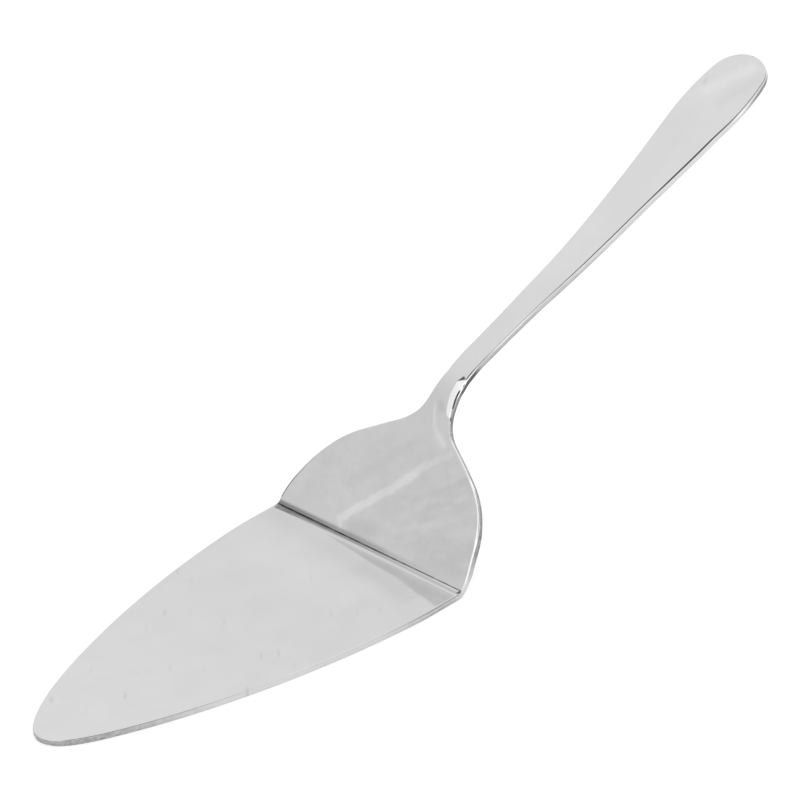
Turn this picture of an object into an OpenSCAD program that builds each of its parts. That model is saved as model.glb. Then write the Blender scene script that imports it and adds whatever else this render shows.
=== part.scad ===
// Cake server in polished stainless steel: a leaf-shaped blade, folded up into a rounded shoulder,
// and a slim handle that is welded to the top of the shoulder.
// Each piece is a strip bent to its side profile, then trimmed to its outline square to the metal.
// +X runs from the blade's tip to the handle's end, and +Z is up.
// The origin is the middle of the blade's flat underside, on which the server rests.

/* [Blade] */
// Length of the flat blade, from its tip to the fold
blade_len = 105.5; // [80:0.5:140]
// Width of the blade at the fold
blade_w = 58; // [44:1:76]
// How far the blade's sides bulge: at 0.5 they run straight into the fold
blade_fullness = 0.5; // [0.2:0.05:0.5]
// Thickness of the blade's sheet
sheet_t = 1.6; // [0.8:0.1:2.4]

/* [Shoulder] */
// Angle at which the shoulder rises from the blade
shoulder_angle = 49; // [35:1:65]
// Radius of the fold, on its inside
fold_r = 3; // [1:0.5:6]
// Radius of the shoulder's round sides
shoulder_r = 27.9; // [24:0.1:40]
// Length of the straight flank between a round side and the throat
flank_len = 9.7; // [2:0.1:14]
// Radius of the hollow throat between the flank and the neck
throat_r = 14.2; // [10:0.1:24]
// Distance of the weld below the neck
weld_drop = 7.5; // [2:0.5:9]

/* [Handle] */
// Thickness of the handle
handle_t = 2; // [1.2:0.1:3]
// Width of the neck, the handle's narrowest place
neck_w = 6.3; // [5:0.1:9]
// Radius of the neck bend, on the handle's top
neck_r = 14; // [8:0.5:30]
// Angle at which the handle rises behind the neck bend
handle_rise = 17.7; // [10:0.1:30]
// Length of the handle behind the neck bend
handle_len = 109.4; // [80:0.2:150]
// Radius of the handle's long upward bow
bow_r = 700; // [500:10:1500]
// Width of the handle's pad, its widest place
pad_w = 16.5; // [13:0.5:24]
// Radius of the pad's sides
pad_r = 60; // [50:1:120]
// Distance from the pad's widest place to the handle's end
end_len = 16.4; // [12:0.2:20]

/* [Hidden] */
// Steps along the blade's side, and along each arc
blade_steps = 40;
arc_steps = 20;
// How far a strip and its trimming run past the finished edge
spare = 5;

blade_half = blade_w / 2;
neck_half = neck_w / 2;
pad_half = pad_w / 2;

// Centres of the shoulder's side arc and of the throat arc, seen square to the shoulder
// The flank touches both arcs, so the two radii and the flank set how far apart the centres are
shoulder_c = [0, blade_half - shoulder_r];
throat_y = neck_half + throat_r;
radii = shoulder_r + throat_r;
neck_at = sqrt(pow(radii, 2) + pow(flank_len, 2) - pow(throat_y - shoulder_c.y, 2));
throat_c = [neck_at, throat_y];
throat_dir = throat_c - shoulder_c;
throat_angle = atan2(throat_dir.y, throat_dir.x) + atan2(flank_len, radii);
weld_at = neck_at - weld_drop;

// Centres of the handle's end circle, of the pad's side arc and of the long flare, each touching the next
pad_x = handle_len - end_len;
end_r = (2 * pad_r * pad_half - pow(pad_half, 2) - pow(end_len, 2)) / (2 * (pad_r - end_len));
flare_step = pad_half - neck_half;
flare_r = (pow(pad_x, 2) + pow(flare_step, 2)) / (2 * flare_step) - pad_r;
end_c = [handle_len - end_r, 0];
pad_c = [pad_x, pad_half - pad_r];
flare_c = [0, neck_half + flare_r];
end_dir = end_c - pad_c;
end_angle = atan2(end_dir.y, end_dir.x);
flare_dir = pad_c - flare_c;
flare_angle = atan2(flare_dir.y, flare_dir.x);

// Side profile: centres of the fold, the neck bend and the bow, in X and Z
neck_turn = shoulder_angle - handle_rise;
bow_turn = asin((handle_len + spare) / bow_r);
fold_c = [blade_len / 2, sheet_t + fold_r];
fold_end = fold_c + fold_r * heading(shoulder_angle - 90);
neck_start = fold_end + neck_at * heading(shoulder_angle);
weld_top = fold_end + weld_at * heading(shoulder_angle);
neck_c = neck_start - neck_r * heading(shoulder_angle + 90);
neck_end = neck_c + neck_r * heading(handle_rise + 90);
bow_c = neck_end + bow_r * heading(handle_rise + 90);
// Length of straight shoulder or handle that the neck bend's tangents run on for until they meet
neck_tangent = neck_r * tan(neck_turn / 2);
// The throat arc opens again past the neck, and the flare arc starts before the bend, so that the two outlines
// cross cleanly at the bend's foot and neither runs along the other
throat_over = 30;
throat_end = neck_at + throat_r * sin(throat_over) / 2;
flare_from = -2 * neck_tangent;
flare_back = asin((spare - flare_from) / flare_r);

// Unit vector at an angle
function heading(angle) = [cos(angle), sin(angle)];

// Points of an arc about a centre, from one angle to another
// An arc that runs on from another one leaves out its first point
function arc(centre, radius, from, to, first = 0) =
    [for (i = [first:arc_steps]) centre + radius * heading(from + (to - from) * i / arc_steps)];

// A half outline closed by its mirror image; points on the centre line are not repeated
function both_sides(half) =
    concat(half, [for (i = [len(half) - 1:-1:0]) if (half[i].y > 0) [half[i].x, -half[i].y]]);

// Half width of the blade at a share of its length from the tip: a round nose that fills out
function blade_side(share) = blade_half * sqrt(share) * (1 + blade_fullness * share * (1 - share));

// Outline of the flat blade, with its points closer together at the nose
module blade_outline() {
    polygon(both_sides([
        for (i = [0:blade_steps])
        let (share = pow(i / blade_steps, 2))
        [blade_len * (share - 1 / 2), blade_side(share)]
    ]));
}

// Outline of the shoulder, its flanks, the throat and the start of the neck, seen square to the shoulder
module shoulder_outline() {
    polygon(both_sides(concat(
        arc(shoulder_c, shoulder_r, 90, throat_angle),
        arc(throat_c, throat_r, throat_angle - 180, throat_over - 90)
    )));
}

// Outline of the neck's end and the handle, seen square to the handle's start
module handle_outline() {
    polygon(both_sides(concat(
        arc(flare_c, flare_r, -flare_back - 90, flare_angle),
        arc(pad_c, pad_r, flare_angle + 180, end_angle, first = 1),
        arc(end_c, end_r, end_angle, 0, first = 1)
    )));
}

// Side profile of the blade's sheet: flat, fold and shoulder
module blade_profile() {
    polygon(concat(
        [[-blade_len / 2 - spare, 0]],
        arc(fold_c, fold_r + sheet_t, -90, shoulder_angle - 90),
        [weld_top - sheet_t * heading(shoulder_angle + 90), weld_top],
        arc(fold_c, fold_r, shoulder_angle - 90, -90),
        [[-blade_len / 2 - spare, sheet_t]]
    ));
}

// Side profile of the handle: throat, neck bend and long bow
module handle_profile() {
    polygon(concat(
        [weld_top, weld_top - handle_t * heading(shoulder_angle + 90)],
        arc(neck_c, neck_r - handle_t, shoulder_angle + 90, handle_rise + 90),
        arc(bow_c, bow_r + handle_t, handle_rise - 90, handle_rise - 90 + bow_turn, first = 1),
        arc(bow_c, bow_r, handle_rise - 90 + bow_turn, handle_rise - 90),
        arc(neck_c, neck_r, handle_rise + 90, shoulder_angle + 90, first = 1)
    ));
}

// A side profile drawn in X and Z, given a width across Y
module strip(width) {
    rotate([90, 0, 0])
        linear_extrude(width, center = true)
            children();
}

// What lies outside an outline, between two distances along it, as a deep cutter
module trimming(from, to, width) {
    linear_extrude(2 * (width + neck_at), center = true)
        difference() {
            translate([from, -width])
                square([to - from, 2 * width]);
            children();
        }
}

// Place at the fold's end: X up the shoulder, Z out of its top face
module on_shoulder() {
    translate([fold_end.x, 0, fold_end.y])
        rotate([0, -shoulder_angle, 0])
            children();
}

// Place at the neck bend's end: X along the handle, Z out of its top face
module on_handle() {
    translate([neck_end.x, 0, neck_end.y])
        rotate([0, -handle_rise, 0])
            children();
}

// The flat blade, the fold and the shoulder, in one sheet
module blade() {
    color("silver")
        difference() {
            strip(blade_w)
                blade_profile();
            trimming(-blade_len / 2 - 2 * spare, blade_len / 2, blade_w)
                blade_outline();
            on_shoulder()
                trimming(0, weld_at + spare, blade_w)
                    shoulder_outline();
        }
}

// The throat above the weld, the neck bend and the bowed grip, in thicker stock
// Its top is flush with the shoulder's
module handle() {
    strip_w = max(pad_w, 2 * throat_y);
    color("gainsboro")
        difference() {
            strip(strip_w)
                handle_profile();
            on_shoulder()
                trimming(weld_at - spare, throat_end, strip_w)
                    shoulder_outline();
            on_handle()
                trimming(flare_from, handle_len + 2 * spare, strip_w)
                    handle_outline();
        }
}

blade();
handle();
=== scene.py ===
# %% [markdown]
# # A polished cake server
# The server is two pieces of stainless steel. One sheet makes the leaf-shaped blade and the shoulder,
# with a single fold between them. Thicker stock makes the neck and the bowed handle, welded to the top of
# the shoulder and ground until the joint no longer shows. This lesson forms both pieces over the packed
# CAD frame, polishes them, and sets them on a pale table in soft light.

# %% Load the frame
import math

import bmesh
import bpy
import numpy as np
from mathutils import Matrix


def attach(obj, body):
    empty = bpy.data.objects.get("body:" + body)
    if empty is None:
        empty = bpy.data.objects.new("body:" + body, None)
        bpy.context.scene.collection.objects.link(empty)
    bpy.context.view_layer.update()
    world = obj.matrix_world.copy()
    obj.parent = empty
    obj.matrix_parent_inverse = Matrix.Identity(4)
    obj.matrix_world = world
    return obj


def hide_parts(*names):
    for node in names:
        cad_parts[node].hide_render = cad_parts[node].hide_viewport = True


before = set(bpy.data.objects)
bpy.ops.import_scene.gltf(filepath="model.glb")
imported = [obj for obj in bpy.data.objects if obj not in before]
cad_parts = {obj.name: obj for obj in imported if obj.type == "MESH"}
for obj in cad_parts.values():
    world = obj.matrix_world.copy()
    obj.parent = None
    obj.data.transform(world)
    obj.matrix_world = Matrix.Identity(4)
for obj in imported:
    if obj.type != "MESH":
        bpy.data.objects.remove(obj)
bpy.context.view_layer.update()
MM = 0.001
print("CAD nodes:", sorted(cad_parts))

# %% [markdown]
# ## Sizes
# The pieces stand for CAD nodes, so they have to repeat the CAD sizes. Reading them off the imported mesh
# would work too, but a maker's list of named sizes is easier to follow. Only the handle is 0.6 mm
# shorter, half of that in its round end, so that it stays inside the CAD box. All lengths are in
# millimetres until a mesh is written.

# %% Sizes of the server
blade_len, blade_half, blade_fullness, sheet_t = 105.5, 29.0, 0.5, 1.6
shoulder_slope, fold_r, shoulder_r, flank_len = math.radians(49), 3.0, 27.9, 9.7
throat_r, weld_drop = 14.2, 7.5
handle_t, neck_half, neck_r, handle_slope = 2.0, 3.15, 14.0, math.radians(17.7)
handle_len, bow_r, pad_half, pad_r, end_len = 108.8, 700.0, 8.25, 60.0, 16.1

shoulder_cw = blade_half - shoulder_r
throat_cw = neck_half + throat_r
radii = shoulder_r + throat_r
neck_at = math.sqrt(radii ** 2 + flank_len ** 2 - (throat_cw - shoulder_cw) ** 2)
weld_at = neck_at - weld_drop
print(f"shoulder {neck_at:.2f} mm long, weld {weld_at:.2f} mm above the fold")

# %% [markdown]
# ## Camera
# The photograph looks down on the server from its tip's side, from far away, so lines hardly converge.
# The camera is built from its viewing angles: three unit vectors point right, down and forward in the
# picture, and the camera backs off from the middle of the crease along the forward one.

# %% Camera
view_drop, view_turn = math.radians(30.98), math.radians(42.83)
view_distance, focal_px, frame_px = 1500.0, 6484.0, 800.0
aim_right, aim_down = -7.39, 34.09
forward = np.array([math.cos(view_drop) * math.cos(view_turn), math.cos(view_drop) * math.sin(view_turn),
                    -math.sin(view_drop)])
right = np.array([math.sin(view_turn), -math.cos(view_turn), 0.0])
down = np.cross(forward, right)
crease_middle = np.array([blade_len / 2 + fold_r * math.tan(shoulder_slope / 2), 0.0, sheet_t])
eye = crease_middle - view_distance * forward - aim_right * right - aim_down * down

camera = bpy.data.objects.new("Camera", bpy.data.cameras.new("Camera"))
bpy.context.scene.collection.objects.link(camera)
placed = np.eye(4)
placed[:3, :3] = np.stack([right, -down, -forward], axis=1)
placed[:3, 3] = eye * MM
camera.matrix_world = Matrix(placed.tolist())
camera.data.sensor_width = 36.0
camera.data.lens = camera.data.sensor_width * focal_px / frame_px
camera.data.clip_end = 20.0
bpy.context.scene.camera = camera
print("camera at", np.round(eye * MM, 3), "m, lens", round(camera.data.lens, 1), "mm")

# %% [markdown]
# ## Side profile
# Seen from the side, the sheet runs flat, folds up, climbs straight, bends back at the neck and then bows
# gently upwards. Its slope angle is a run of straight ramps along its length, so the side profile is the
# sum of short steps taken at that slope. Working with the length along the sheet, s, keeps the flat blank
# and the bent piece in step. The real fold is a little sharper than the plain CAD profile and the real
# neck bends over a longer stretch, each about the same corner.

# %% Side profile
fold_from = blade_len
fold_to = fold_from + fold_r * shoulder_slope
neck_from = fold_to + neck_at
neck_turn = shoulder_slope - handle_slope
neck_to = neck_from + neck_r * neck_turn
handle_end = neck_to + bow_r * math.asin(handle_len / bow_r)
weld = fold_to + weld_at
sharp_r, soft_r = 2.0, 30.0
sharp_by = (fold_r - sharp_r) * math.tan(shoulder_slope / 2)
soft_by = (soft_r - neck_r) * math.tan(neck_turn / 2)
sharp_from = fold_from + sharp_by
slope_marks = [0.0, sharp_from, sharp_from + sharp_r * shoulder_slope,
               neck_from - soft_by, neck_to + soft_by, handle_end]
slopes = [0.0, 0.0, shoulder_slope, shoulder_slope, handle_slope + soft_by / bow_r,
          handle_slope + (handle_end - neck_to) / bow_r]

fine_s = np.linspace(0.0, handle_end, 200001)
fine_slope = np.interp(fine_s, slope_marks, slopes)
step_slope = (fine_slope[1:] + fine_slope[:-1]) / 2
fine_x = -blade_len / 2 + np.concatenate([[0.0], np.cumsum(np.cos(step_slope) * np.diff(fine_s))])
fine_z = sheet_t + np.concatenate([[0.0], np.cumsum(np.sin(step_slope) * np.diff(fine_s))])


def bend(s, w, h):
    """Bends the flat blank: a point s along it, w across it and h above its top face goes to the side
    profile's point at s, moved h along the profile's normal there and w across."""
    slope = np.interp(s, fine_s, fine_slope)
    x = np.interp(s, fine_s, fine_x) - h * np.sin(slope)
    z = np.interp(s, fine_s, fine_z) + h * np.cos(slope)
    return np.stack([x, w, z], axis=-1)


print(f"fold {fold_from:.1f} to {fold_to:.1f} mm, neck {neck_from:.1f} to {neck_to:.1f} mm")
print(f"weld {weld:.1f} mm, end {handle_end:.1f} mm along the sheet")

# %% [markdown]
# ## Outlines of the flat blanks
# Each blank's half outline is made of stretches: the leaf curve, straight runs and arcs that touch each
# other. A stretch gives its points (s, w) and the direction that points out of the metal, because the
# edges are rounded along that direction. Points stand closer together where the metal bends or turns
# sharply.

# %% Outline stretches
def leaf(share):
    """Leaf side: half width = blade_half * sqrt(share) * (1 + fullness * share * (1 - share)), at a share
    of the blade's length from the tip. The outward direction is square to its tangent, worked out with
    the share's root, p."""
    p = np.sqrt(share)
    s, w = blade_len * share, blade_half * p * (1 + blade_fullness * share * (1 - share))
    along = 2 * blade_len * p
    across = blade_half * (1 + blade_fullness * (3 * share - 5 * share ** 2))
    size = np.hypot(along, across)
    return np.stack([s, w, -across / size, along / size])


def straight(s, half):
    """Straight side: constant half width, outward direction straight across."""
    return np.stack([s, np.full_like(s, half), np.zeros_like(s), np.ones_like(s)])


def arc(centre, radius, angles, hollow=False):
    """Round side: centre plus radius at each angle. Metal lies inside the circle, or outside a hollow."""
    out_s, out_w = np.cos(angles), np.sin(angles)
    sign = -1.0 if hollow else 1.0
    return np.stack([centre[0] + radius * out_s, centre[1] + radius * out_w, sign * out_s, sign * out_w])


def flank(run):
    """Straight flank of the shoulder: runs on from the side arc along its last tangent."""
    out_s, out_w = np.full_like(run, math.cos(throat_turn)), np.full_like(run, math.sin(throat_turn))
    s = fold_to + shoulder_r * out_s + run * out_w
    w = shoulder_cw + shoulder_r * out_w - run * out_s
    return np.stack([s, w, out_s, out_w])


def graded(start, end, count, power):
    """Values from start to end whose steps grow from the start as a power of the count."""
    return start + (end - start) * np.linspace(0.0, 1.0, count) ** power


throat_turn = math.atan2(throat_cw - shoulder_cw, neck_at) + math.atan2(flank_len, radii)
weld_turn = math.acos(weld_drop / throat_r) - math.pi
close_before, close_behind = 12.0, 6.0
near_fold = graded(fold_from, fold_from - close_before, 44, 1.5)[::-1] / blade_len
near_tip = np.linspace(0.0, math.sqrt(near_fold[0]), 110)[:-1] ** 2
near_shoulder = np.arccos(graded(0.0, close_behind, 36, 1.5) / shoulder_r)
blade_side = np.concatenate([
    leaf(near_tip),
    leaf(near_fold),
    straight(np.linspace(fold_from, fold_to, 48)[1:-1], blade_half),
    arc((fold_to, shoulder_cw), shoulder_r, near_shoulder),
    arc((fold_to, shoulder_cw), shoulder_r, np.linspace(near_shoulder[-1], throat_turn, 60)[1:]),
    flank(np.linspace(0.0, flank_len, 16)[1:]),
    arc((neck_from, throat_cw), throat_r, np.linspace(throat_turn - math.pi, weld_turn, 16)[1:], hollow=True),
], axis=1)
print("blade's half outline:", blade_side.shape[1], "points,",
      "half width at the weld", round(blade_side[1, -1], 3), "mm")

# %% [markdown]
# The handle's outline is cut square to the handle's start, like the CAD solid. A distance x along that
# straight line is a little longer along the bow, so the handle's stretches turn x into the length along
# the bow.

# %% Handle outline
pad_x = handle_len - end_len
end_r = (2 * pad_r * pad_half - pad_half ** 2 - end_len ** 2) / (2 * (pad_r - end_len))
flare_step = pad_half - neck_half
flare_r = (pad_x ** 2 + flare_step ** 2) / (2 * flare_step) - pad_r
flare_turn = math.atan2(flare_step - pad_r - flare_r, pad_x)
end_turn = math.atan2(pad_r - pad_half, handle_len - end_r - pad_x)
flare_c, pad_c, end_c = (0.0, neck_half + flare_r), (pad_x, pad_half - pad_r), (handle_len - end_r, 0.0)


def along_bow(side):
    """Changes straight distances from the neck into lengths along the bow: bow_r * arcsin(x / bow_r)."""
    bowed = side.copy()
    bowed[0] = neck_to + bow_r * np.arcsin(side[0] / bow_r)
    return bowed


handle_side = np.concatenate([
    arc((neck_from, throat_cw), throat_r, np.linspace(weld_turn, -math.pi / 2, 28), hollow=True),
    straight(np.linspace(neck_from, neck_to, 48)[1:], neck_half),
    along_bow(arc(flare_c, flare_r, np.linspace(-math.pi / 2, flare_turn, 110)[1:], hollow=True)),
    along_bow(arc(pad_c, pad_r, np.linspace(flare_turn + math.pi, end_turn, 40)[1:])),
    along_bow(arc(end_c, end_r, np.linspace(end_turn, 0.0, 40)[1:])),
], axis=1)
print("handle's half outline:", handle_side.shape[1], "points, end radius", round(end_r, 2), "mm")

# %% [markdown]
# ## Section
# Polishing rounds every edge over. Across a section, the metal runs flat from the spine to the rim, turns
# down over the rim, drops along the wall and turns under. The neck was dressed by hand: its near side
# carries a broad ground bevel, its far side only a small rounding. The tip's under edge is worn round, and
# just above the fold the metal is gathered to 2 mm. Each size is a smooth function of s that both pieces
# share, so they meet flush at the weld, and it is set by rows that give a place along the server and the
# sizes there.

# %% Rows of section sizes
far_in, far_down = 0.5, 0.42
# Place, how far the near rim reaches in from the outline, how far it turns down
near_rim = [
    (0, 0.4, 0.35), (fold_from - 6, 0.4, 0.35),
    (fold_to + 5, 0.42, 0.38), (fold_to + 12, 0.6, 0.38), (fold_to + 20, 0.6, 0.38),
    (weld - 4, 0.4, 0.38), (weld + 0.5, 0.4, 0.4), (weld + 1.9, 1.5, 0.6),
    (neck_from - 4, 1.9, 0.65), (neck_from - 1.5, 2.3, 0.65), (neck_from + 2.4, 2.4, 0.65),
    (neck_from + 3.7, 0.45, 0.45), (neck_to + 20, 0.35, 0.45), (neck_to + 45, 0.5, 0.75),
    (handle_end - 15, 0.5, 0.75), (handle_end, 0.4, 0.6),
]
# Place, how far the under edge reaches in, how far it turns up, thickness of the metal
under_edge = [
    (0, 0.7, 0.8, sheet_t), (0.7, 0.6, 0.7, sheet_t), (2.5, 0.2, 0.2, sheet_t),
    (fold_to + 1, 0.2, 0.2, sheet_t), (fold_to + 4, 0.2, 0.2, 2.0), (fold_to + 10, 0.2, 0.2, 2.0),
    (fold_to + 17, 0.3, 0.3, 1.65), (weld - 2, 0.4, 0.4, 1.65), (weld + 1.5, 0.6, 0.6, 1.8),
    (neck_from - 1, 0.6, 0.6, 1.95), (neck_to, 0.5, 0.6, handle_t),
]


def eased(s, rows, column=1):
    """A smooth curve through the rows' values that never overshoots: a cubic between neighbours, whose
    slope at a row is the harmonic mean of the slopes to both sides, or zero where the values turn back.
    The column says which of a row's values to follow."""
    rows = np.array(rows, float)
    marks, values = rows[:, 0], rows[:, column]
    gap = np.diff(marks)
    rise = np.diff(values) / gap
    both = rise[:-1] * rise[1:]
    slope = np.zeros_like(values)
    slope[1:-1] = np.where(both > 0, 2 * both / np.where(both > 0, rise[:-1] + rise[1:], 1.0), 0.0)
    i = np.clip(np.searchsorted(marks, s, side="right") - 1, 0, len(marks) - 2)
    t = np.clip((s - marks[i]) / gap[i], 0.0, 1.0)
    return ((1 + 2 * t) * (1 - t) ** 2 * values[i] + t * t * (3 - 2 * t) * values[i + 1]
            + gap[i] * t * (1 - t) * ((1 - t) * slope[i] - t * slope[i + 1]))


bevel_place = np.array(neck_from - 1.0)
print(f"neck: near bevel {eased(bevel_place, near_rim):.2f} mm in, far rounding {far_in} mm")

# %% [markdown]
# Handwork also leaves the real outline and faces a little off the plain curves. Each of these differences
# is less than a millimetre, yet it is what the eye follows along an edge.

# %% Handwork along the server
def swell(s):
    """How far the real outline stands outside the plain curves: 0.2 mm before the fold, -0.35 mm on the
    shoulder's round sides, 0.15 mm on the flanks and 0.4 mm at the neck."""
    return eased(s, [
        (60, 0), (85, 0.12), (93, 0.22), (98.5, 0.1), (103, 0),
        (fold_to + 1, 0), (fold_to + 5, -0.2), (fold_to + 8, -0.35), (fold_to + 14, -0.2),
        (fold_to + 18, 0.05), (fold_to + 23, 0.15), (fold_to + 26.5, 0.15), (fold_to + 30, -0.05),
        (weld, -0.15), (weld + 1.5, 0),
        (neck_from - 2, 0.4), (neck_from + 1, 0.3), (neck_from + 4, 0.05),
        (neck_to + 12, 0.05), (neck_to + 32, 0.1), (neck_to + 78, 0.1), (neck_to + 92, 0),
    ])


def ground(s):
    """How much deeper the near side is ground than the far one: 0.3 mm above the fold and 0.4 mm in the
    throat, while the handle's near side was left up to 0.15 mm fuller."""
    return eased(s, [
        (fold_to + 0.5, 0), (fold_to + 3, 0.18), (fold_to + 6, 0.3), (fold_to + 10, 0.2),
        (fold_to + 15, 0), (fold_to + 24, 0), (fold_to + 29, 0.4), (weld + 1, 0),
        (neck_to + 22, 0), (neck_to + 30, -0.12), (neck_to + 50, -0.15), (neck_to + 60, -0.1),
        (neck_to + 76, -0.12), (neck_to + 84, -0.02), (neck_to + 94, -0.13), (neck_to + 102, -0.15),
    ])


def tip_lean(s):
    """How far the blade's tip leans to the near side: 0.45 mm at the very tip, nothing 18 mm behind."""
    return eased(s, [(0, 0.45), (6, 0.3), (18, 0)])


def dish(s):
    """How far the sheet lies above the plain side profile: the shoulder is dished by 0.7 mm, the handle
    sags a little before its middle and its end droops by 0.6 mm."""
    return eased(s, [
        (fold_to + 4, 0), (fold_to + 11, -0.38), (fold_to + 18, -0.7), (fold_to + 25, -0.5),
        (neck_from - 4, -0.1), (neck_from - 0.5, 0.15), (neck_from + 6, -0.12),
        (neck_to + 4, -0.22), (neck_to + 10, -0.1), (neck_to + 22, 0.05), (neck_to + 40, -0.28),
        (neck_to + 64, 0), (neck_to + 84, 0.12), (neck_to + 97, -0.25), (handle_end, -0.62),
    ])


crease_slant = 0.012


def crease_line(w):
    """Where the bottom of the crease runs: it slants a little across the sheet."""
    return fold_from + 1.5 - crease_slant * w


def crease(s, w):
    """How deep the crease lies below the plain fold: a sharp groove, 0.13 * exp(-distance / 0.36), less a
    soft swell of 0.07 mm before it, where the sheet was drawn over the press tool, and a long low one
    across the fold."""
    groove = 0.13 * np.exp(-np.hypot(s - crease_line(w), 0.05) / 0.36)
    drawn = 0.07 * np.exp(-((s - fold_from - 0.45) / 0.6) ** 2)
    low = 0.015 * np.exp(-((s - fold_from - 1) / 4) ** 2)
    return groove - drawn - low


print("shoulder dished by", round(-float(dish(np.array(fold_to + 18))), 2), "mm")

# %% [markdown]
# ## Carrying the section along the outline
# A piece is one closed skin. The first parameter walks along the half outline, the second goes round the
# section: out along the top, over the rim, down the wall and back below, then the same mirrored. The rows
# across the metal stay at one s each, so that the facets lie along the bends. The rim is a quarter of an
# ellipse, wide and low on the bevel.

# %% The skin as a grid
top_count, rim_count, wall_count, under_count = 30, 21, 6, 10
across_share = 1 - (1 - np.linspace(0.0, 1.0, top_count)) ** 1.5
over = np.linspace(0.0, math.pi / 2, rim_count)
below = np.linspace(math.pi / 2, 0.0, under_count)
wall = np.linspace(0.0, 1.0, wall_count + 2)[1:-1]
inward = across_share[::-3][1:]
edge_turn = np.concatenate([over / over[-1], 1 + wall, 3 - below / below[0]])
turn = np.concatenate([np.zeros(top_count - 1), edge_turn, np.full(len(inward), 3.0)])


def half_skin(side, mirror):
    """Grid of (s, w, h): spine to rim at top height, quarter ellipse over the rim, wall, quarter ellipse
    under, rim to spine below. Inset points move against the outline's outward direction, but straight
    across near the weld, so that its cut is flat; the move is stretched there to keep the same distance
    from the outline."""
    s, w, out_s, out_w = side[:, :, None]
    near = mirror < 0
    rim_in = eased(s, near_rim, 1) if near else far_in + 0 * s
    rim_down = eased(s, near_rim, 2) if near else far_down + 0 * s
    under_in, under_up, thickness = (eased(s, under_edge, column) for column in (1, 2, 3))
    w = w + swell(s)
    lean = 1 - eased(s, [(weld - 10, 0), (weld - 4, 1), (weld + 4, 1), (weld + 10, 0)])
    stretch = 1 / (lean * out_s ** 2 + out_w ** 2)
    out_s, out_w = lean * out_s * stretch, out_w * stretch
    inset = np.concatenate([rim_in * (1 - np.sin(over)), 0 * s * wall,
                            under_in * (1 - np.sin(below))], axis=1)
    upper = -rim_down * (1 - np.cos(over))
    lower = -thickness + under_up * (1 - np.cos(below))
    drop = upper[:, -1:] + (lower[:, :1] - upper[:, -1:]) * wall
    edge_h = np.concatenate([upper, drop, lower], axis=1)
    grid_s = np.concatenate([s - rim_in * out_s + 0 * across_share[:-1], s - inset * out_s,
                             s - under_in * out_s + 0 * inward], axis=1)
    grid_w = mirror * np.concatenate([(w - rim_in * out_w) * across_share[:-1], w - inset * out_w,
                                      (w - under_in * out_w) * inward], axis=1)
    if near:
        grid_w = grid_w + ground(s) * np.concatenate([across_share[:-1], 0 * edge_turn + 1, inward])
    grid_w = grid_w - tip_lean(s)
    grid_h = np.concatenate([0 * s * across_share[:-1], edge_h, -thickness + 0 * inward], axis=1)
    grid_h = grid_h + dish(grid_s) - np.clip(1 - turn, 0, 1) * crease(grid_s, grid_w)
    return grid_s, grid_w, grid_h, np.broadcast_to(turn, grid_h.shape)


def skin(side):
    """Closes the far half and the mirrored near half into one loop, sharing both spine lines."""
    far, near = half_skin(side, 1.0), half_skin(side, -1.0)
    return np.stack([np.concatenate([f, n[:, -2:0:-1]], axis=1) for f, n in zip(far, near)], axis=-1)


print("section:", len(turn), "points on each side")

# %% [markdown]
# The grid becomes a mesh once it is bent. Its points keep their place on the flat blank, because the
# finish is easiest to describe there.

# %% Meshing a skin
def make_piece(name, side, cap_row):
    """Bends a skin into its mesh: quads between neighbouring rows, one flat face over the cut at the
    weld. Each point keeps its place on the flat blank and its turn round the section, for the finish."""
    blank = skin(side)
    rows, ring = blank.shape[:2]
    index = np.arange(rows * ring).reshape(rows, ring)
    nxt = np.roll(index, -1, axis=1)
    quads = np.stack([index[:-1], nxt[:-1], nxt[1:], index[1:]], axis=-1).reshape(-1, 4)
    cap = index[cap_row][::1 if cap_row else -1]
    points = bend(blank[..., 0], blank[..., 1], blank[..., 2]).reshape(-1, 3) * MM
    mesh = bpy.data.meshes.new(name)
    mesh.from_pydata(points, [], quads.tolist() + [cap.tolist()])
    mesh.attributes.new("blank", "FLOAT_VECTOR", "POINT").data.foreach_set(
        "vector", blank[..., :3].reshape(-1).astype(np.float32))
    mesh.attributes.new("turn", "FLOAT", "POINT").data.foreach_set(
        "value", blank[..., 3].reshape(-1).astype(np.float32))
    work = bmesh.new()
    work.from_mesh(mesh)
    bmesh.ops.remove_doubles(work, verts=work.verts, dist=1e-7)
    bmesh.ops.dissolve_degenerate(work, edges=work.edges, dist=1e-8)
    bmesh.ops.recalc_face_normals(work, faces=work.faces)
    for face in work.faces:
        face.smooth = True
        if len(face.verts) > 4:
            face.smooth = False
            for edge in face.edges:
                edge.smooth = False
    open_edges = sum(1 for e in work.edges if len(e.link_faces) != 2)
    volume = work.calc_volume(signed=True)
    work.to_mesh(mesh)
    work.free()
    piece = bpy.data.objects.new(name, mesh)
    bpy.context.scene.collection.objects.link(piece)
    print(name, len(mesh.polygons), "faces,", open_edges, "open edges,", round(volume * 1e9, 1), "mm3")
    return piece


# %% [markdown]
# ## Blade and handle
# The blade's outline starts at the tip and is cut at the weld. The handle's starts at the weld and closes
# at the round end.

# %% Make both pieces
blade = make_piece("server_blade", blade_side, -1)
handle = make_piece("server_handle", handle_side, 0)
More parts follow.
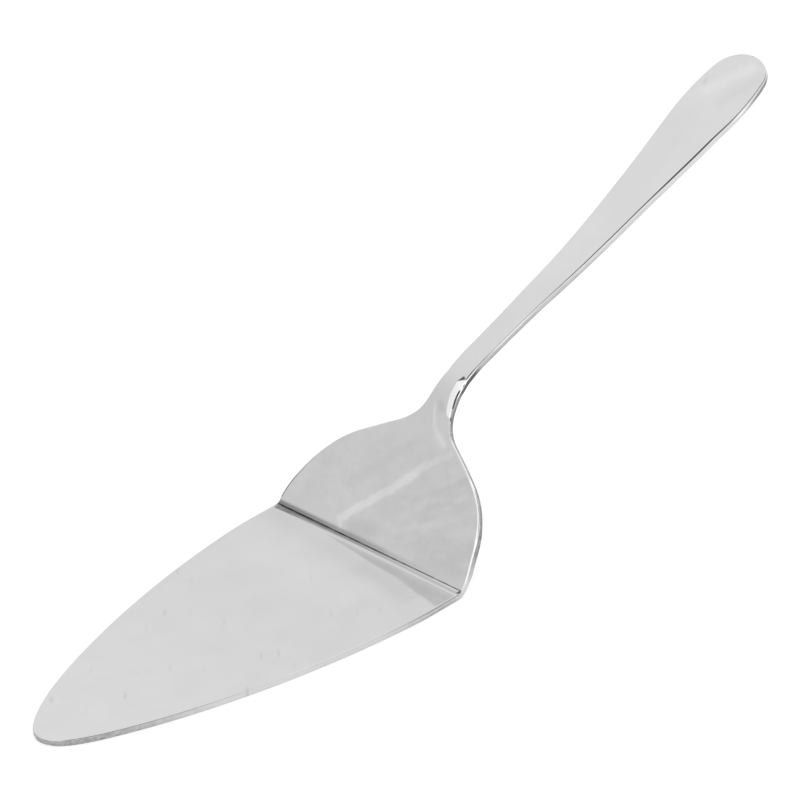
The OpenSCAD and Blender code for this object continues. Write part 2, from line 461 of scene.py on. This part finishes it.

# %% [markdown]
# ## Polished steel
# Mirror-polished stainless steel is a grey mirror. What gives it away as metal is not its colour but small
# faults, smears and wipe marks, and the light and shade painted on it: painted shade in the crease and on
# the edges, which were sheared, painted highlights on the rims and painted dark reflections beside them.
# Each is a factor on the steel's tone, written as a formula over the flat blank. A field stands for a
# number that changes over the surface, and arithmetic on fields adds the nodes that work it out.

# %% Node helpers
def add(tree, kind, inputs=(), **settings):
    """Adds a node, sets its settings, and sets or links its inputs, given as pairs of a name or number
    and a value."""
    node = tree.nodes.new(kind)
    for key, value in settings.items():
        setattr(node, key, value)
    for key, value in dict(inputs).items():
        if isinstance(value, Field):
            value = value.socket
        if isinstance(value, bpy.types.NodeSocket):
            tree.links.new(value, node.inputs[key])
        else:
            node.inputs[key].default_value = value
    return node


class Field:
    """A number that changes over the surface."""

    def __init__(self, tree, socket):
        self.tree, self.socket = tree, socket

    def math(self, operation, *others):
        """One step of arithmetic with other fields or plain numbers."""
        node = add(self.tree, "ShaderNodeMath", enumerate((self, *others)), operation=operation)
        return Field(self.tree, node.outputs[0])

    def __add__(self, other):
        return self.math("ADD", other)

    def __sub__(self, other):
        return self.math("SUBTRACT", other)

    def __mul__(self, other):
        return self.math("MULTIPLY", other)

    def __truediv__(self, other):
        return self.math("DIVIDE", other)

    def __pow__(self, other):
        return self.math("POWER", other)

    def __abs__(self):
        return self.math("ABSOLUTE")

    def step(self, low, high, start=0.0, end=1.0):
        """A smooth change from start to end while the field goes from low to high."""
        limits = {"Value": self, "From Min": low, "From Max": high, "To Min": start, "To Max": end}
        node = add(self.tree, "ShaderNodeMapRange", limits, interpolation_type="SMOOTHSTEP")
        return Field(self.tree, node.outputs["Result"])

    def band(self, rise, full, fall, gone):
        """1 while the field is between full and fall, and 0 below rise and above gone."""
        return self.step(rise, full) * self.step(gone, fall)

    def less(self, share):
        """The factor 1 - share * field."""
        return self.math("MULTIPLY_ADD", share * -1.0, 1.0)


def strongest(first, *others):
    """The largest of several fields at each point."""
    for other in others:
        first = first.math("MAXIMUM", other)
    return first


print("fields ready")

# %% [markdown]
# The flat blank's coordinates come from the mesh. Clouds and soft lines drawn on the blank are all that
# the faults and the painted light and shade need.

# %% Drawing on the blank
class Sheet:
    """The flat blank's coordinates in one material: s along and w across in mm, turn round the section."""

    def __init__(self, tree):
        self.tree = tree
        self.place = add(tree, "ShaderNodeAttribute", attribute_name="blank").outputs["Vector"]
        apart = add(tree, "ShaderNodeSeparateXYZ", {0: self.place})
        self.s, self.w = Field(tree, apart.outputs["X"]), Field(tree, apart.outputs["Y"])
        self.turn = Field(tree, add(tree, "ShaderNodeAttribute", attribute_name="turn").outputs["Fac"])

    def clouds(self, along, across, detail=2.0, slant=0.0):
        """Cloud noise about 0.5, with clouds of about these lengths in mm along and across the blank,
        turned by the slant in radians from +w towards -w."""
        turned = add(self.tree, "ShaderNodeVectorRotate", {"Vector": self.place, "Angle": slant},
                     rotation_type="Z_AXIS")
        scaled = add(self.tree, "ShaderNodeVectorMath",
                     {0: turned.outputs[0], 1: (1 / along, 1 / across, 1 / across)}, operation="MULTIPLY")
        noise = add(self.tree, "ShaderNodeTexNoise",
                    {"Vector": scaled.outputs[0], "Scale": 1.0, "Detail": detail})
        return Field(self.tree, noise.outputs[0])

    def line(self, start, end, half_width, wander=0.0):
        """A soft line between two places (s, w): 1 on it, 0 at half_width from it, fading over 2 mm at
        its ends. The wander in mm is how far noise pushes it about."""
        run = np.subtract(end, start)
        length = float(np.hypot(*run))
        ahead_s, ahead_w = (float(c) for c in run / length)
        from_s, from_w = self.s - start[0], self.w - start[1]
        along = from_s * ahead_s + from_w * ahead_w
        off = from_w * ahead_s - from_s * ahead_w
        if wander:
            off = off + (self.clouds(3.0, 3.0) - 0.5) * (4 * wander)
        return abs(off).step(half_width, 0.0) * along.band(-1.0, 1.0, length - 1.0, length + 1.0)


def above_fold(run, across):
    """A place on the shoulder, by its distance from the fold's end."""
    return fold_to + run, across


def before_end(run, across):
    """A place on the handle, by its distance from the handle's end."""
    return handle_end - run, across


print("shoulder marks start", round(above_fold(0, 0)[0], 1), "mm along the blank")

# %% [markdown]
# The flat faces first. Hand polishing leaves broad smears and fine wipe marks along the piece, and painted
# shade darkens the faces towards the crease. Dust and dried drops leave a few slanting specks. Painted shade
# lies in a zone just before the fold, with a painted paler reflection ahead of it, and painted shade also
# darkens the handle's start.

# %% Faces
speck_along, speck_across = 24.0, 6.5


def specks_on(sheet):
    """The middles of some cells of a slanting cell pattern, nearly four times as long as wide, and
    fainter towards the fold."""
    s, w = sheet.s, sheet.w
    slanted = add(sheet.tree, "ShaderNodeCombineXYZ", {0: (s + w) / speck_along, 1: (s - w) / speck_across})
    cells = add(sheet.tree, "ShaderNodeTexVoronoi", {"Vector": slanted.outputs[0], "Scale": 1.0},
                voronoi_dimensions="2D")
    split = add(sheet.tree, "ShaderNodeSeparateColor", {0: cells.outputs["Color"]})
    chance = Field(sheet.tree, split.outputs[0])
    middle = Field(sheet.tree, cells.outputs["Distance"]).step(0.15, 0.0)
    return middle * chance.step(0.35, 0.9) * s.step(96.0, 40.0, 0.2)


def faces(sheet):
    """Tone of the flat faces: about 0.7, lowered towards the crease by painted shade, times smears, wipes,
    specks, the painted shade before the fold and on the handle's start, and the painted paler zone."""
    s = sheet.s
    # Painted shade: the faces darken towards the crease.
    fold_shade = s.step(0.0, fold_from, 0.0, 0.07) * s.step(fold_from + 1.5, fold_from)
    smears = sheet.clouds(11.0, 9.0, 3.0)
    wipes = sheet.clouds(9.0, 0.2, 3.0)
    # Painted shade before the fold, a painted paler reflection ahead of it, painted shade on the handle's
    # start.
    dim = (sheet.line((103.5, 28.0), (98.0, -23.0), 6.5) * s.step(fold_from + 1, fold_from - 1)
           + sheet.line((99.5, -3.0), (98.5, -19.0), 5.0) * 0.7)
    pale = sheet.line((88.0, 27.0), (85.0, -14.0), 10.0)
    start_shade = s.band(neck_to - 2, neck_to + 4, neck_to + 14, neck_to + 38)
    smears_and_fold_shade = (smears * 0.07 + 0.66) * (wipes * 0.03 + 0.985) * fold_shade.less(1.0)
    zones = dim.less(0.06) * pale.less(-0.035) * start_shade.less(0.04)
    return smears_and_fold_shade * specks_on(sheet).less(0.12) * zones, smears


print("faces: smears about 10 mm wide, specks in cells of", speck_along, "by", speck_across)

# %% [markdown]
# A painted reflection, a pale streak, runs slantwise across the shoulder in three bends from a hook at the
# crease, and a thin one crosses the throat. A few pale patches lie below, with painted shade along the
# crease. The half below the streak is painted darker and mottled, and a fine grain covers the whole shoulder.

# %% Marks on the shoulder
streak_from, streak_to = above_fold(1.2, 11.4), above_fold(27.0, -9.6)


def pale_reflections_and_patches(sheet):
    """Factor for the painted reflections, the streak with its hook and the thin one in the throat, and for
    the pale patches.
    """
    broken = sheet.clouds(4.0, 4.0).step(0.3, 0.6, 0.75, 1.0)
    # Painted reflection: the pale streak's three bends.
    bends = strongest(sheet.line(streak_from, above_fold(14.5, 0.9), 2.0, 0.4),
                      sheet.line(above_fold(13.5, 1.5), above_fold(23.0, -4.6), 2.0, 0.4),
                      sheet.line(above_fold(22.0, -4.0), streak_to, 1.5, 0.3))
    hook = sheet.line(above_fold(-0.6, 9.6), above_fold(2.6, 10.6), 1.0)
    fading = sheet.s.step(fold_to + 28, fold_to + 16, 0.4, 1.0)
    streak = strongest(bends.step(0.0, 0.85), hook) * broken * fading
    thin = strongest(sheet.line(above_fold(35.4, 1.2), above_fold(30.4, -1.2), 0.7, 0.15),
                     sheet.line(above_fold(30.8, -1.0), above_fold(27.2, -6.6), 1.2, 0.25)) * broken
    soft = sheet.line(above_fold(29.0, -2.6), above_fold(26.0, -6.5), 2.6, 0.3)
    patches = strongest(sheet.line(above_fold(4.4, -3.6), above_fold(9.4, -12.6), 1.6, 0.5),
                        sheet.line(above_fold(12.2, -11.2), above_fold(15.6, -15.6), 1.5, 0.5),
                        sheet.line(above_fold(16.8, -15.0), above_fold(19.6, -17.8), 1.3, 0.4))
    return streak.less(-0.17) * thin.less(-0.12) * soft.less(-0.05) * patches.less(-0.06)


def dull_marks_and_shade(sheet):
    """Factor for the painted shade and the dim marks: painted shade along the crease, a painted dim spot in
    the throat, two dim slanting lines, and the lower half, painted darker, mottled and grainy."""
    s, w = sheet.s, sheet.w
    # Painted shade along the crease, just above the fold.
    crease_side_shade = (sheet.line(above_fold(1.3, 8.4), above_fold(2.4, -0.4), 2.8, 0.4) * 0.4
             + sheet.line(above_fold(-0.2, 7.0), above_fold(-0.6, -5.0), 1.6, 0.2) * 0.45
             + sheet.line(above_fold(1.2, -13.0), above_fold(1.8, -27.0), 3.2, 0.6) * 0.25)
    # Painted shade: a dim spot in the throat.
    dim = sheet.line(above_fold(36.6, 0.4), above_fold(34.4, -1.7), 1.6)
    dim_lines = strongest(sheet.line(above_fold(12.5, -4.8), above_fold(23.5, -17.2), 1.2, 0.3),
                      sheet.line(above_fold(9.0, 14.2), above_fold(26.5, 0.8), 2.4, 0.5))
    on_shoulder = s.band(fold_to, fold_to + 4, weld - 12, weld - 2)
    # Painted shade: the shoulder's lower half is darker.
    lower = on_shoulder * w.step(14.0, -16.0)
    mottle = (sheet.clouds(9.0, 4.2, 2.0, slant=0.93).step(0.38, 0.7) - 0.4) * lower
    grain = (sheet.clouds(2.4, 3.4, 3.0) - 0.5) * on_shoulder
    return (dim.less(0.12) * dim_lines.less(0.04) * lower.less(0.05) * mottle.less(-0.07) * grain.less(-0.14)
            * crease_side_shade.less(0.22))


print("marks: streak", round(math.dist(streak_from, streak_to), 1), "mm long")

# %% [markdown]
# On the handle's end a painted highlight, a pale band, lies across the pad, with a faint shadow below and a
# smudge above. At the neck the near bevel ends in a small dark triangle.

# %% Marks on the handle
def handle_marks(sheet):
    """Factor for the handle's marks: the painted highlight band, the painted shadow and the smudge on the
    pad, and the dark triangle, which lies inside three straight sides."""
    s, w = sheet.s, sheet.w
    # Painted highlight across the pad, with painted shadow below it.
    band = sheet.line(before_end(15, 4.5), before_end(2, -2.6), 3.2)
    shade = sheet.line(before_end(17, -1.5), before_end(4, -6.2), 3.0)
    smudge = sheet.line(before_end(12.4, 5.5), before_end(11, 6.2), 0.8)
    low_s, low_w = above_fold(42.3, -1.05)
    high_s, high_w = above_fold(43.6, -2.75)
    left = (s - low_s) * 0.7 + (w - low_w) * 1.85
    top = (s - high_s) * 0.95 - (w - high_w) * 0.6
    foot = (s - low_s) * 1.65 + (w - low_w) * 1.25
    triangle = left.step(0.25, -0.35) * top.step(0.35, -0.3) * foot.step(-0.25, 0.35)
    return band.less(-0.07) * shade.less(0.04) * smudge.less(0.12) * triangle.less(0.86)


print("pad band starts", round(before_end(15, 0)[0], 1), "mm along the blank")

# %% [markdown]
# Painted shade lies in the crease. Its line is thin and grey at the near edge, and black and broad at the
# far edge, where painted shade also lies to both sides of it. A second faint painted dark line runs just
# before it, a thin painted highlight shows where the sheet was drawn, and the line ends in a small dark
# tick at the near rim.

# %% Crease
def in_crease(sheet):
    """Factor for the painted shade in the crease: a dark line at the crease's bottom, a ramp of painted shade
    before it and a shorter one behind it, all growing with the distance from the near edge, a dark wedge
    before it that narrows to the near side, a painted reflection of the shoulder, and the tick."""
    s, w = sheet.s, sheet.w
    off = s - (w * -crease_slant + (fold_from + 1.42))
    far = w.step(-34.0, 30.0)
    broken = sheet.clouds(0.8, 2.5).step(0.25, 0.65, 0.75, 1.1)
    # Painted shade: the dark line at the crease's bottom.
    line = abs(off).step(far * 0.12 + 0.24, far * 0.06 + 0.02) * (far * 0.2 + 0.74) * broken
    second = abs(off + 0.8).step(0.16, 0.0) * 0.18
    before = off.band(-1.4, -0.2, -0.1, 0.2) * (far ** 1.3 * 0.4 + 0.12)
    behind = off.band(-0.2, 0.1, 0.65, 1.6) * (far ** 1.2 * 0.6)
    # Painted reflection of the shoulder: the dark wedge before the crease.
    wedge_side = off + w * 0.03 + 0.98
    wedge = (wedge_side.step(-0.2, 0.25) * off.step(0.1, -0.1) * w.step(-14.0, 22.0) * 0.36
             + abs(wedge_side - 0.4).step(0.6, 0.2) * w.step(19.0, 27.0) * 0.34) * broken * w.step(28.6, 27.6)
    # Painted highlight where the sheet was drawn.
    drawn = abs(off + 1.85).step(0.35, 0.1) * w.step(8.0, -6.0) * 0.08
    tick = sheet.line(above_fold(-1.0, -28.6), above_fold(-1.8, -28.5), 0.7).step(0.1, 0.6)
    inside = sheet.turn.step(0.35, 0.05)
    crease_shade = before.less(inside) * behind.less(inside) * wedge.less(inside)
    return line.less(inside) * second.less(inside) * crease_shade * drawn.less(-1.0) * tick.less(0.8)


print("crease: dark line slants", round(crease_slant * 2 * blade_half, 2), "mm across the sheet")

# %% [markdown]
# The edges were sheared, which leaves a smooth upper band and a rough lower one. The walls carry painted
# shade, standing for the table's shadow mirrored in them: darker on the lower band, strongest on the
# shoulder's flanks and at the tip, and far lighter along the handle than at the tip. Below the neck's bevel
# the wall carries a painted dark band, down to the weld.

# %% Sheared and shaded walls
def sheared_and_shaded(sheet, near, streaks):
    """Shares of painted shade on the edge: the wall with its rough band low down, the dark wall under the
    neck's bevel, and the shaded rim of the blade. The shares change along the server."""
    s, turn = sheet.s, sheet.turn
    tip = s.step(45.0, 4.0)
    at_fold = s.band(80.0, 103.0, fold_from - 2, fold_to + 1)
    flanks = (s.band(fold_to - 2, fold_to + 13, weld - 1, weld + 1)
              * s.step(fold_to + 10, fold_to + 15, 0.66, 0.56))
    start = s.band(neck_to - 1, neck_to + 3, neck_to + 15, neck_to + 60)
    middle = s.band(neck_to + 22, neck_to + 38, neck_to + 60, neck_to + 78)
    end = s.step(handle_end - 17, handle_end - 8) * near
    # Painted shade on the walls, standing for the table's shadow mirrored in them.
    down_wall = (turn - s.step(neck_to - 1, neck_to + 1, 0.75, 0.4)
                 - s.step(neck_to + 4, neck_to + 8, 0.0, 0.35))
    share = tip * 0.42 + at_fold * 0.15 + flanks + start * 0.2 + middle * 0.07 + end * 0.55 + 0.06
    wall = down_wall.step(-0.1, 0.25) * turn.step(3.0, 2.9) * share
    rough = turn.band(1.3, 1.8, 2.8, 3.0) * (tip * 0.05 + at_fold * 0.25 + start * 0.12)
    # Painted dark band on the wall under the neck's bevel.
    down_neck = (turn - s.step(weld - 0.5, weld + 2.0, 0.8, 0.56)
                 - s.step(weld + 4.3, weld + 7.0, 0.0, 0.3))
    darker = (s.step(weld + 2.5, weld + 5.5, 0.65, 0.58)
              + s.step(neck_from - 1.5, neck_from + 1.5) * 0.25)
    neck_wall = (down_neck.step(-0.06, 0.06) * turn.step(3.0, 2.9)
                 * s.band(weld - 1, weld + 0.5, neck_to - 2, neck_to + 3) * darker)
    # Painted shade on the blade's rim.
    rim_shade = turn.band(0.35, 0.6, 0.8, 1.2) * streaks * (
        tip * 0.2 + at_fold * 0.2 + s.step(fold_from, fold_from - 5) * 0.12)
    return (wall + rough) * streaks, neck_wall, rim_shade


print("edges: sheared wall", sheet_t, "mm on the blade,", handle_t, "mm on the handle")

# %% [markdown]
# The near rim carries painted highlights: round the shoulder, at the neck, and a little at the handle's
# start and end. The blade's rim has only a painted glint, and the neck's bevel is painted all bright.

# %% Bright rims
def bright_rims(sheet, near, streaks):
    """Share of painted highlight on the near rim: stretches along it, the neck's bevel, cut off slantwise at
    its upper end, and the painted glint on the blade."""
    s, w, turn = sheet.s, sheet.w, sheet.turn
    # Painted highlights along the near rim.
    shine = (s.band(fold_to, fold_to + 3, fold_to + 8, fold_to + 12) * 0.3
             + s.band(fold_to + 8, fold_to + 12, fold_to + 21, fold_to + 24) * 1.1
             + s.band(fold_to + 21, fold_to + 24, weld - 2, weld + 0.5) * 0.2
             + s.band(neck_from - 2, neck_from, neck_to - 3, neck_to + 1) * 0.45
             + s.band(neck_to + 2, neck_to + 6, neck_to + 14, neck_to + 26) * 0.25
             + s.band(handle_end - 20, handle_end - 15, handle_end - 4, handle_end - 1) * 0.4)
    rim_highlight = turn.band(0.02, 0.25, 0.9, 1.1) * near * shine
    cut_off = (s + w * 0.743).step(fold_to + 41.7, fold_to + 41.1)
    bevel = turn.band(0.03, 0.1, 0.9, 1.1) * near * s.step(weld + 1.0, weld + 1.7) * cut_off
    glint = turn.band(0.05, 0.2, 0.35, 0.55) * near * s.band(48.0, 62.0, 82.0, 92.0) * streaks
    return strongest(rim_highlight, bevel * 0.55) + glint * 0.1


print("bevel bright from", round(weld + 1.0, 1), "mm along the blank")

# %% [markdown]
# Along the near side of the handle a painted dark reflection runs as a line where the polished face meets
# the rim. It is broadest past the handle's middle and runs thin to the end. A second painted dark line lies
# low on the neck's bevel, and a third follows the far side of the shoulder up from the crease.

# %% Dark lines
def dark_lines(sheet, near, far):
    """Shares of the painted dark lines, painted reflections: the one low on the bevel, the one along the
    handle, which moves outwards near the end, and the far one."""
    s, turn = sheet.s, sheet.turn
    # Painted dark reflections along the rims.
    inner = (turn.band(0.52, 0.57, 0.72, 0.77) * near
             * s.band(weld + 2.9, weld + 3.7, neck_from + 0.2, neck_from + 1.2))
    late = s.step(neck_to + 80, neck_to + 95)
    broad = (s.band(neck_to + 55, neck_to + 72, neck_to + 80, neck_to + 95)
             + s.step(neck_to + 2, neck_to - 1) * 0.7)
    across = turn.band(late * 0.18, late * 0.18 + 0.08,
                       broad * 0.12 + late * 0.14 + 0.3, broad * 0.13 + late * 0.12 + 0.47)
    along = (s.band(neck_to + 12, neck_to + 45, handle_end - 4, handle_end - 1) * (broad * 0.3 + 0.55)
             + s.band(neck_from + 3, neck_from + 4, neck_to - 2.2, neck_to + 0.8) * 0.88)
    far_line = (turn.band(0.0, 0.1, 0.5, 0.9) * far
                * s.band(fold_to - 0.3, fold_to + 0.7, fold_to + 4, fold_to + 17) * 0.85)
    return inner * 0.95, across * near * along, far_line


def cut_edge(sheet):
    """Factor for the edge: painted shade on the walls, painted highlights on the rims and painted dark
    lines together, broken by streaks.
    """
    near, far = sheet.w.step(0.0, -0.5), sheet.w.step(0.0, 0.5)
    streaks = sheet.clouds(3.0, 0.5).step(0.25, 0.7, 0.7, 1.15)
    wall, neck_wall, rim_shade = sheared_and_shaded(sheet, near, streaks)
    inner, line, far_line = dark_lines(sheet, near, far)
    dark = wall.less(1.0) * strongest(neck_wall, inner).less(1.0) * rim_shade.less(1.0)
    return dark * bright_rims(sheet, near, streaks).less(-1.0) * line.less(1.0) * far_line.less(1.0)


print("handle line from", round(neck_to + 12, 1), "to", round(handle_end - 1, 1), "mm along the blank")

# %% [markdown]
# The factors meet in one shader. The base colour is a neutral grey, fully metallic. Roughness is low and
# follows the smears, and a faint bump of broad dents keeps the reflections from being ruler-straight.

# %% Steel
def polished_steel(name):
    """Polished steel: tone = faces * marks * crease * edge, rougher on smears and on the lower wall."""
    material = bpy.data.materials.new(name)
    material.use_nodes = True
    tree = material.node_tree
    tree.nodes.clear()
    sheet = Sheet(tree)
    tone, smears = faces(sheet)
    marks = pale_reflections_and_patches(sheet) * dull_marks_and_shade(sheet) * handle_marks(sheet)
    tone = tone * marks * in_crease(sheet) * cut_edge(sheet)
    colour = add(tree, "ShaderNodeCombineColor", {0: tone, 1: tone, 2: tone})
    rough = smears * 0.05 + 0.03 + sheet.turn.band(1.1, 1.6, 2.6, 3.0) * 0.12
    dents = sheet.clouds(18.0, 18.0, 1.0)
    bump = add(tree, "ShaderNodeBump", {"Strength": 0.15, "Distance": 0.0005, "Height": dents})
    shader = add(tree, "ShaderNodeBsdfPrincipled", {"Base Color": colour.outputs[0], "Metallic": 1.0,
                                                    "Roughness": rough, "Normal": bump.outputs[0]})
    add(tree, "ShaderNodeOutputMaterial", {"Surface": shader.outputs[0]})
    print(name, len(tree.nodes), "nodes")
    return material


blade.data.materials.append(polished_steel("blade_steel"))
handle.data.materials.append(polished_steel("handle_steel"))

# %% [markdown]
# ## Table
# The server lies on a pale table. To the camera and to mirrors the table is a mid grey with a glow of its
# own, which together come out white, and to all other light it is plain white card. So it looks white,
# straight on and in the steel, and the soft shadow stays.

# %% Table
table_half, table_z = 3.0, -0.02 * MM
table_mesh = bpy.data.meshes.new("table")
corners = np.array([[-1, -1, 0], [1, -1, 0], [1, 1, 0], [-1, 1, 0]], float) * table_half
corners[:, 2] = table_z
table_mesh.from_pydata(corners, [], [[0, 1, 2, 3]])
table = bpy.data.objects.new("table", table_mesh)
bpy.context.scene.collection.objects.link(table)
paper = bpy.data.materials.new("table_paper")
paper.use_nodes = True
tree = paper.node_tree
tree.nodes.clear()
path = add(tree, "ShaderNodeLightPath").outputs
seen = strongest(Field(tree, path["Is Camera Ray"]), path["Is Glossy Ray"], path["Is Transmission Ray"])
plain = add(tree, "ShaderNodeBsdfDiffuse", {"Color": (0.85, 0.85, 0.85, 1)})
faint = add(tree, "ShaderNodeBsdfDiffuse", {"Color": (0.5, 0.5, 0.5, 1)})
glow = add(tree, "ShaderNodeEmission", {"Color": (1, 1, 1, 1), "Strength": 0.65})
shown = add(tree, "ShaderNodeAddShader", {0: faint.outputs[0], 1: glow.outputs[0]})
mixed = add(tree, "ShaderNodeMixShader", {0: seen, 1: plain.outputs[0], 2: shown.outputs[0]})
add(tree, "ShaderNodeOutputMaterial", {"Surface": mixed.outputs[0]})
table_mesh.materials.append(paper)
print("table", 2 * table_half, "m wide")

# %% [markdown]
# ## Studio
# A mirror shows its surroundings, so the studio is the look. A white tent stands round the server. Its
# left side is dimmer, and so is a small patch behind. A grey card stands at the front right, two soft
# boxes shine from the front, and a small black card hangs between them and the top of the tent. Round
# zones, each with a centre, a radius and a soft border in degrees and a level, paint that on the world by
# direction.

# %% World
world = bpy.data.worlds.new("tent")
bpy.context.scene.world = world
world.use_nodes = True
tree = world.node_tree
tree.nodes.clear()
direction = add(tree, "ShaderNodeTexCoord").outputs["Generated"]
cloth = add(tree, "ShaderNodeTexNoise", {"Vector": direction, "Scale": 3.0, "Detail": 2.0})
level = Field(tree, cloth.outputs[0]) * 0.08 + 0.96
zones = [
    ("dim left side", (-0.85, 0.45, 0.25), 22, 50, 0.82),
    ("grey card", (0.75, -0.60, 0.30), 20, 12, 0.62),
    ("dim patch behind", (0.417, 0.58, 0.695), 3, 8, 0.89),
    ("left soft box", (-0.50, -0.62, 0.60), 34, 6, 1.16),
    ("front soft box", (0.12, -0.82, 0.56), 22, 6, 1.16),
    ("black card", (0.05, -0.42, 0.906), 14, 5, 0.10),
]
for _, centre, radius, border, brightness in zones:
    aim = np.array(centre) / np.linalg.norm(centre)
    towards = add(tree, "ShaderNodeVectorMath", {0: direction, 1: tuple(aim)}, operation="DOT_PRODUCT")
    inside = Field(tree, towards.outputs["Value"]).step(math.cos(math.radians(radius + border)),
                                                        math.cos(math.radians(radius)))
    level = Field(tree, add(tree, "ShaderNodeMix", {0: inside, 2: level, 3: brightness}).outputs[0])
lit = add(tree, "ShaderNodeBackground", {"Color": (1, 1, 1, 1), "Strength": level})
white = add(tree, "ShaderNodeBackground", {"Color": (1, 1, 1, 1), "Strength": 1.0})
ray = add(tree, "ShaderNodeLightPath").outputs["Is Camera Ray"]
both = add(tree, "ShaderNodeMixShader", {0: ray, 1: lit.outputs[0], 2: white.outputs[0]})
add(tree, "ShaderNodeOutputWorld", {"Surface": both.outputs[0]})
bpy.context.scene.view_settings.view_transform = "Standard"
print("tent with", ", ".join(zone[0] for zone in zones))

# %% [markdown]
# ## Into the frame
# Each piece rides on the frame's one body and stands for its CAD node, which it hides.

# %% Finish
for piece, node in ((blade, "blade"), (handle, "handle")):
    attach(piece, "root")
    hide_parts(node)
